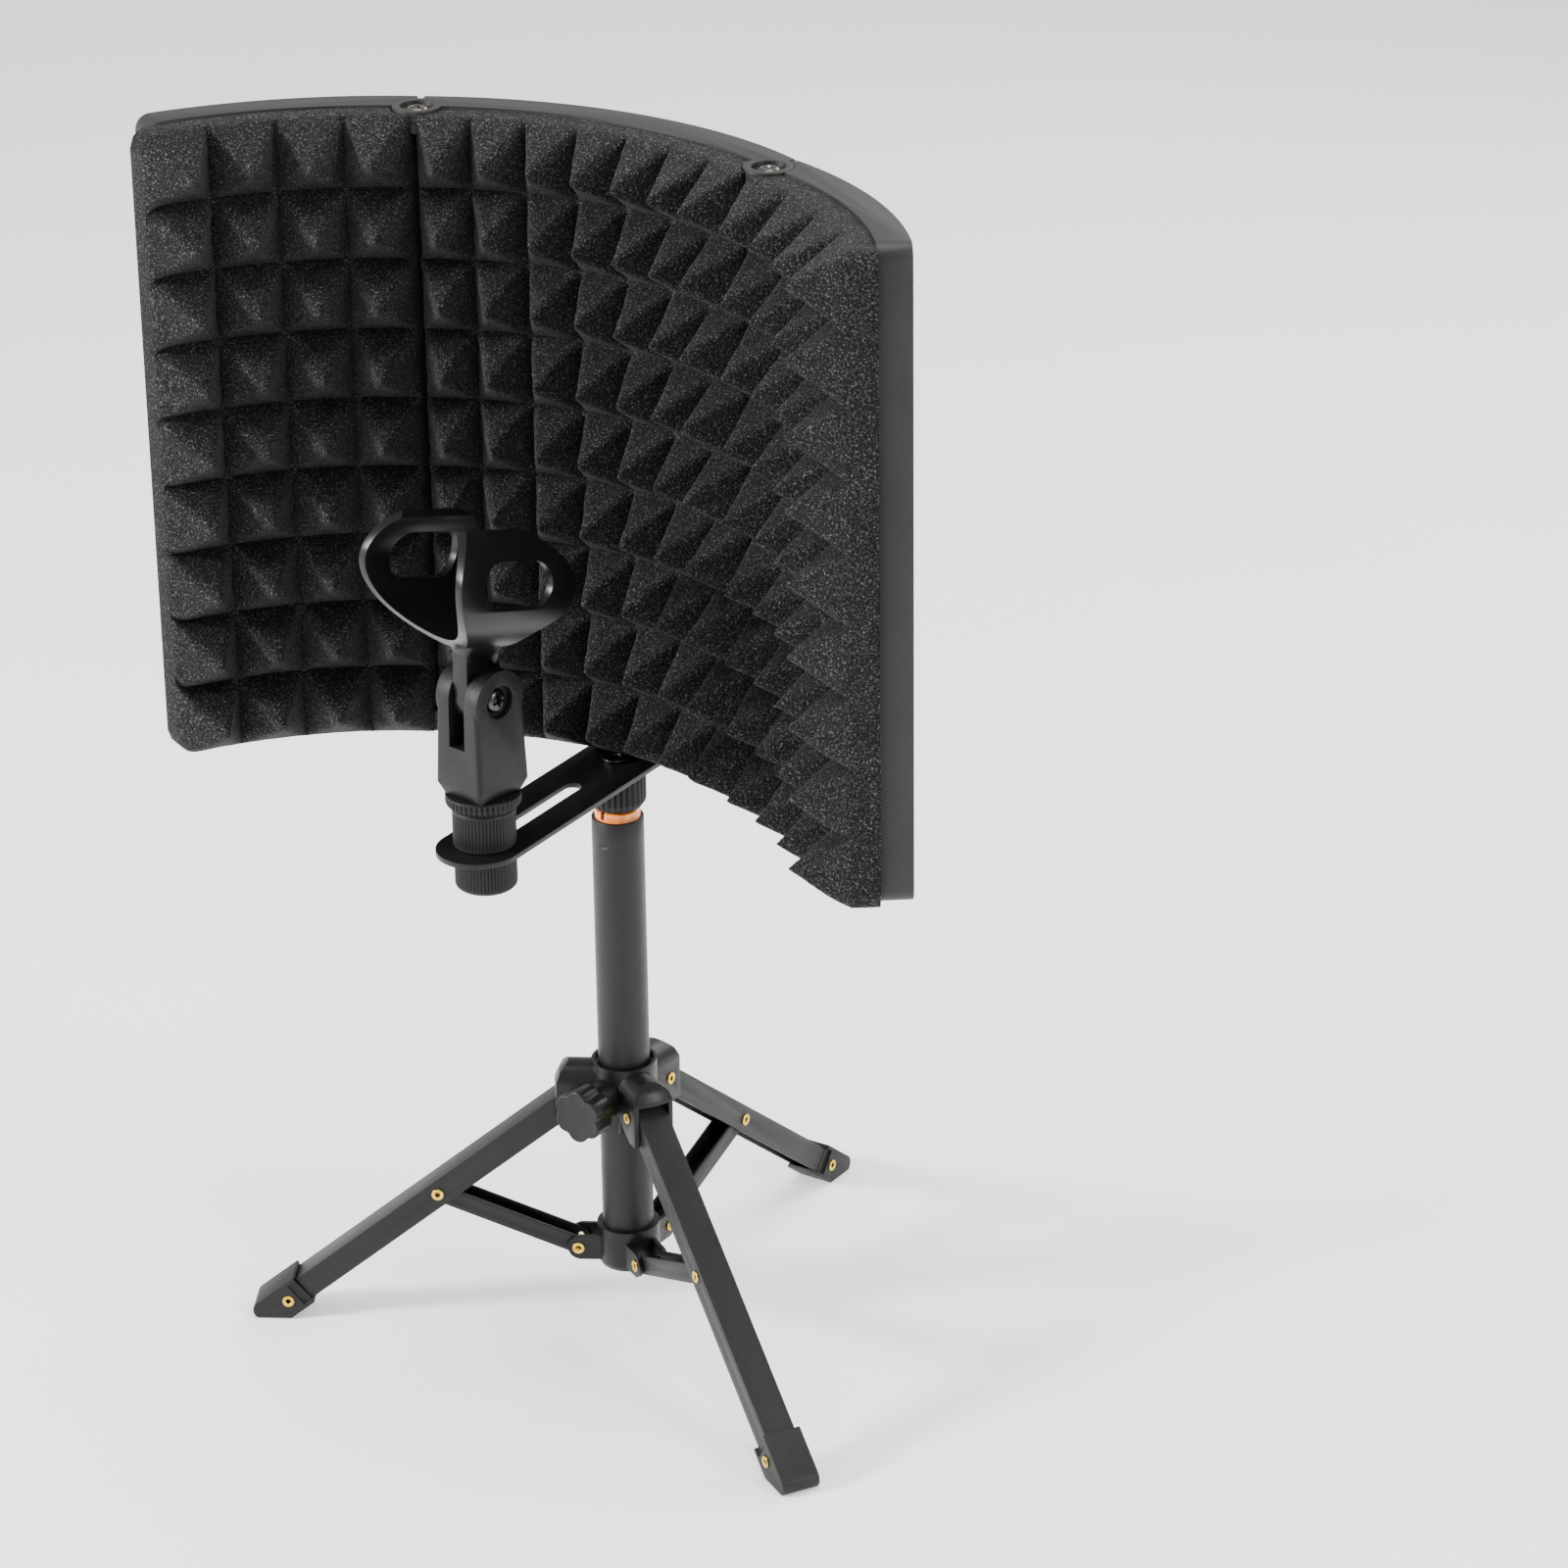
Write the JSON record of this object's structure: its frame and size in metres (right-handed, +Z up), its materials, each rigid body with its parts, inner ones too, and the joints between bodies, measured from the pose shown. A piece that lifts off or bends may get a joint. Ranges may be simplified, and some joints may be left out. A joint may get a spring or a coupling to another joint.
{
  "type": "microphone isolation shield",
  "caption": "Three-panel foam microphone isolation shield on a folding desktop tripod, with a slotted arm and a tilting microphone clip.",
  "frame": {"origin": "on the mast axis at floor level", "axes": "+Z up along the mast, -Y towards the microphone side of the shield, +X towards the right panel seen from the microphone"},
  "size_m": [0.4079, 0.3466, 0.6178],
  "materials": {
    "foam": "open-cell acoustic foam, matt with a fine sparkling grain",
    "frame_plastic": "satin moulded plastic",
    "back_plate": "satin black",
    "bright_screw": "bright zinc",
    "insert_brass": "turned",
    "dark_screw": "blackened",
    "plate_steel": "satin black powder coat",
    "knurled_nut": "fine straight knurl",
    "plain_steel": "machined",
    "yoke_plastic": "fine moulded grain",
    "clip_plastic": "semi-gloss",
    "collet_orange": "glossy translucent",
    "tube_paint": "satin fine-grained powder coat",
    "rivet_brass": "rolled edge",
    "hub_plastic": "satin",
    "foot_rubber": "fine grain"
  },
  "bodies": {
    "column": {"column_tube": "tube_paint", "column_collar": "hub_plastic", "collar_rivets": "rivet_brass", "collet_ring": "collet_orange"},
    "hub": {"hub": "hub_plastic", "hub_rivets": "rivet_brass"},
    "clamp_shoe": {"clamp_shoe": "hub_plastic"},
    "clamp_knob": {"clamp_screw": "plain_steel", "clamp_knob": "hub_plastic"},
    "mast": {"mast_tube": "tube_paint", "mast_head": "plain_steel", "mast_guide_bush": "hub_plastic", "mast_cap_screw": "bright_screw"},
    "mast_nut": {"mast_thumb_nut": "knurled_nut"},
    "shield": {"arm_plate": "plate_steel", "shield_bracket": "plate_steel", "bracket_screws": "dark_screw", "centre_frame": "frame_plastic", "centre_back_plate": "back_plate", "centre_foam": "foam", "left_hinge_screws": "bright_screw", "right_hinge_screws": "bright_screw"},
    "left_panel": {"left_frame": "frame_plastic", "left_back_plate": "back_plate", "left_foam": "foam", "left_hinge_inserts": "insert_brass"},
    "right_panel": {"right_frame": "frame_plastic", "right_back_plate": "back_plate", "right_foam": "foam", "right_hinge_inserts": "insert_brass"},
    "mic_carriage": {"mic_stud": "plain_steel"},
    "lower_nut": {"mic_lower_nut": "knurled_nut"},
    "sleeve_nut": {"mic_sleeve_nut": "knurled_nut"},
    "lock_ring": {"mic_lock_ring": "knurled_nut"},
    "yoke": {"clip_yoke": "yoke_plastic", "yoke_insert": "insert_brass", "clip_pivot_screw": "dark_screw", "clip_pivot_nut": "dark_screw"},
    "clip": {"mic_clip": "clip_plastic"},
    "leg_left": {"leg_left": "tube_paint", "foot_left": "foot_rubber", "leg_rivets_left": "rivet_brass"},
    "brace_left": {"brace_left": "tube_paint"},
    "leg_right": {"leg_right": "tube_paint", "foot_right": "foot_rubber", "leg_rivets_right": "rivet_brass"},
    "brace_right": {"brace_right": "tube_paint"},
    "leg_rear": {"leg_rear": "tube_paint", "foot_rear": "foot_rubber", "leg_rivets_rear": "rivet_brass"},
    "brace_rear": {"brace_rear": "tube_paint"}
  },
  "joints": [
    {"name": "hub_slide", "type": "slide", "parent": "column", "child": "hub", "axis": [0, 0, 1], "range_m": [0, 0.07913]},
    {"name": "leg_left_fold", "type": "hinge", "parent": "hub", "child": "leg_left", "pos_m": [-0.02183, -0.01166, 0.1258], "axis": [0.471, -0.8821, 0], "range_deg": [0, 45.7]},
    {"name": "brace_left_fold", "type": "hinge", "parent": "leg_left", "child": "brace_left", "pos_m": [-0.08296, -0.0443, 0.07107], "axis": [-0.471, 0.8821, 0], "range_deg": [0, 106.21]},
    {"name": "leg_right_fold", "type": "hinge", "parent": "hub", "child": "leg_right", "pos_m": [0.02101, -0.01308, 0.1258], "axis": [0.5284, 0.849, 0], "range_deg": [0, 45.7]},
    {"name": "brace_right_fold", "type": "hinge", "parent": "leg_right", "child": "brace_right", "pos_m": [0.07984, -0.0497, 0.07107], "axis": [-0.5284, -0.849, 0], "range_deg": [0, 106.21]},
    {"name": "leg_rear_fold", "type": "hinge", "parent": "hub", "child": "leg_rear", "pos_m": [0.00082, 0.02474, 0.1258], "axis": [-0.9995, 0.0332, 0], "range_deg": [0, 45.7]},
    {"name": "brace_rear_fold", "type": "hinge", "parent": "leg_rear", "child": "brace_rear", "pos_m": [0.00312, 0.09399, 0.07107], "axis": [0.9995, -0.0332, 0], "range_deg": [0, 106.21]},
    {"name": "clamp_release", "type": "slide", "parent": "hub", "child": "clamp_shoe", "axis": [-0.0332, -0.9995, 0], "range_m": [0, 0.002]},
    {"name": "knob_turn", "type": "hinge", "parent": "clamp_shoe", "child": "clamp_knob", "pos_m": [0, 0, 0.13], "axis": [-0.0332, -0.9995, 0], "range_deg": [0, 720]},
    {"name": "mast_slide", "type": "slide", "parent": "column", "child": "mast", "axis": [0, 0, 1], "range_m": [0, 0.14]},
    {"name": "mast_nut_turn", "type": "hinge", "parent": "mast", "child": "mast_nut", "pos_m": [0, 0, 0.2818], "axis": [0, 0, 1], "continuous": true},
    {"name": "shield_pan", "type": "hinge", "parent": "mast", "child": "shield", "pos_m": [0, 0, 0.3057], "axis": [0, 0, 1], "continuous": true},
    {"name": "left_fold", "type": "hinge", "parent": "shield", "child": "left_panel", "pos_m": [-0.09542, -0.00842, 0.3078], "axis": [0, 0, 1], "range_deg": [-12.5, 26.5]},
    {"name": "right_fold", "type": "hinge", "parent": "shield", "child": "right_panel", "pos_m": [0.09542, -0.00842, 0.3078], "axis": [0, 0, -1], "range_deg": [-6.5, 32.5]},
    {"name": "mic_slide", "type": "slide", "parent": "shield", "child": "mic_carriage", "axis": [0, 1, 0], "range_m": [0, 0.025]},
    {"name": "lower_nut_turn", "type": "hinge", "parent": "mic_carriage", "child": "lower_nut", "pos_m": [0, -0.111, 0.28415], "axis": [0, 0, 1], "continuous": true},
    {"name": "sleeve_turn", "type": "hinge", "parent": "mic_carriage", "child": "sleeve_nut", "pos_m": [0, -0.111, 0.30575], "axis": [0, 0, 1], "continuous": true},
    {"name": "lock_ring_turn", "type": "hinge", "parent": "mic_carriage", "child": "lock_ring", "pos_m": [0, -0.111, 0.32485], "axis": [0, 0, 1], "continuous": true},
    {"name": "clip_pan", "type": "hinge", "parent": "mic_carriage", "child": "yoke", "pos_m": [0, -0.111, 0.3322], "axis": [0, 0, 1], "range_deg": [-30, 30]},
    {"name": "clip_tilt", "type": "hinge", "parent": "yoke", "child": "clip", "pos_m": [0, -0.111, 0.38], "axis": [0.9816, -0.1908, 0], "range_deg": [-10, 45]}
  ],
  "couplings": [
    {"joint": "leg_left_fold", "follows": "hub_slide", "rad_per_m": 10.08},
    {"joint": "brace_left_fold", "follows": "hub_slide", "rad_per_m": 23.427},
    {"joint": "leg_right_fold", "follows": "hub_slide", "rad_per_m": 10.08},
    {"joint": "brace_right_fold", "follows": "hub_slide", "rad_per_m": 23.427},
    {"joint": "leg_rear_fold", "follows": "hub_slide", "rad_per_m": 10.08},
    {"joint": "brace_rear_fold", "follows": "hub_slide", "rad_per_m": 23.427},
    {"joint": "clamp_release", "follows": "knob_turn", "m_per_rad": 0.00015915}
  ]
}
